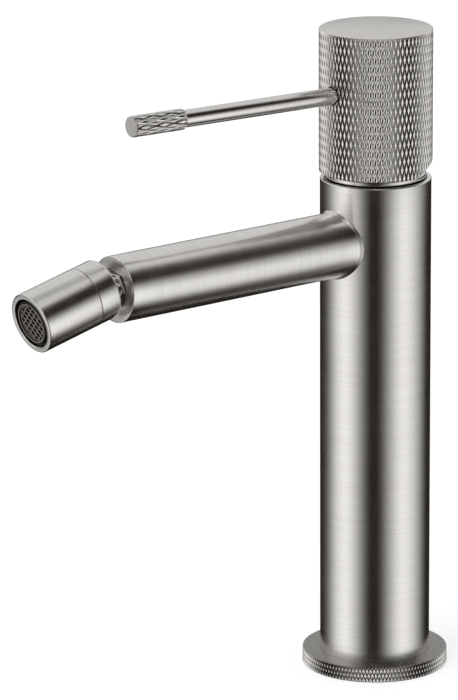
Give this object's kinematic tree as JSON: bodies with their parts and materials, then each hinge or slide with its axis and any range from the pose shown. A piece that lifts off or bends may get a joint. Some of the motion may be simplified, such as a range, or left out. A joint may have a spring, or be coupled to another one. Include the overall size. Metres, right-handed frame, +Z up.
{
  "type": "bidet mixer",
  "caption": "Single-lever bidet mixer: slim round column on a knurled base ring, level tube spout with a swivelling ball-joint head, and a knurled knob with a pin lever.",
  "frame": {"origin": "centre of the foot's underside, on the column's axis, at the stud hole's mouth", "axes": "+Z up along the column; the spout and the lever point to -Y"},
  "size_m": [0.045, 0.1544, 0.2014],
  "materials": {
    "nickel": "brushed satin nickel",
    "bright_nickel": "smooth nickel",
    "bare_brass": "machined",
    "riser_tube": "drawn copper alloy tube",
    "steel": "machined",
    "seal_rubber": "moulded",
    "disc_ceramic": "lapped ceramic",
    "cartridge_plastic": "moulded",
    "joint_plastic": "moulded",
    "aerator_plastic": "moulded"
  },
  "bodies": {
    "column": {"base_ring": "nickel", "base_gasket": "seal_rubber", "foot_block": "bare_brass", "body_tube": "nickel", "riser_cold": "riser_tube", "riser_hot": "riser_tube", "riser_seals": "seal_rubber", "valve_block": "bare_brass", "spout_nipple": "bare_brass", "nipple_seal": "seal_rubber", "spout_bush": "bare_brass", "spout_tube": "nickel", "spout_end": "nickel", "ball_stem": "bright_nickel", "cartridge_base": "cartridge_plastic", "port_seals": "seal_rubber", "fixed_disc": "disc_ceramic", "cartridge_shell": "cartridge_plastic", "retaining_nut": "bare_brass", "neck_ring": "nickel"},
    "turret": {"cartridge_turret": "cartridge_plastic", "pivot_pin": "steel"},
    "disc": {"moving_disc": "disc_ceramic", "disc_carrier": "cartridge_plastic"},
    "handle": {"spindle": "steel", "knob_sleeve": "nickel", "knob_hub": "bare_brass", "knob_cap": "nickel", "grub_screw": "steel", "lever_rod": "nickel", "lever_grip": "nickel"},
    "liner": {"ball_liner": "joint_plastic"},
    "head": {"head_collar": "nickel", "head_body": "nickel", "ball_seat": "joint_plastic", "seat_spring": "seal_rubber", "aerator_washer": "seal_rubber", "aerator_housing": "aerator_plastic", "jet_disc": "aerator_plastic", "aerator_screen": "steel", "aerator_mesh": "steel"}
  },
  "joints": [
    {"name": "handle_turn", "type": "hinge", "parent": "column", "child": "turret", "pos_m": [0, 0, 0.1669], "axis": [0, 0, 1], "range_deg": [-45, 45]},
    {"name": "handle_lift", "type": "hinge", "parent": "turret", "child": "handle", "pos_m": [0, 0, 0.1669], "axis": [-1, 0, 0], "range_deg": [0, 18]},
    {"name": "disc_slide", "type": "slide", "parent": "turret", "child": "disc", "axis": [0, -1, 0], "range_m": [0, 0.0034]},
    {"name": "head_yaw", "type": "hinge", "parent": "column", "child": "liner", "pos_m": [0, -0.1082, 0.1364], "axis": [0, 0, 1], "range_deg": [-18, 18]},
    {"name": "head_pitch", "type": "hinge", "parent": "liner", "child": "head", "pos_m": [0, -0.1082, 0.1364], "axis": [1, 0, 0], "range_deg": [-31.5, 4.4]}
  ],
  "couplings": [
    {"joint": "disc_slide", "follows": "handle_lift", "m_per_rad": 0.010328}
  ]
}
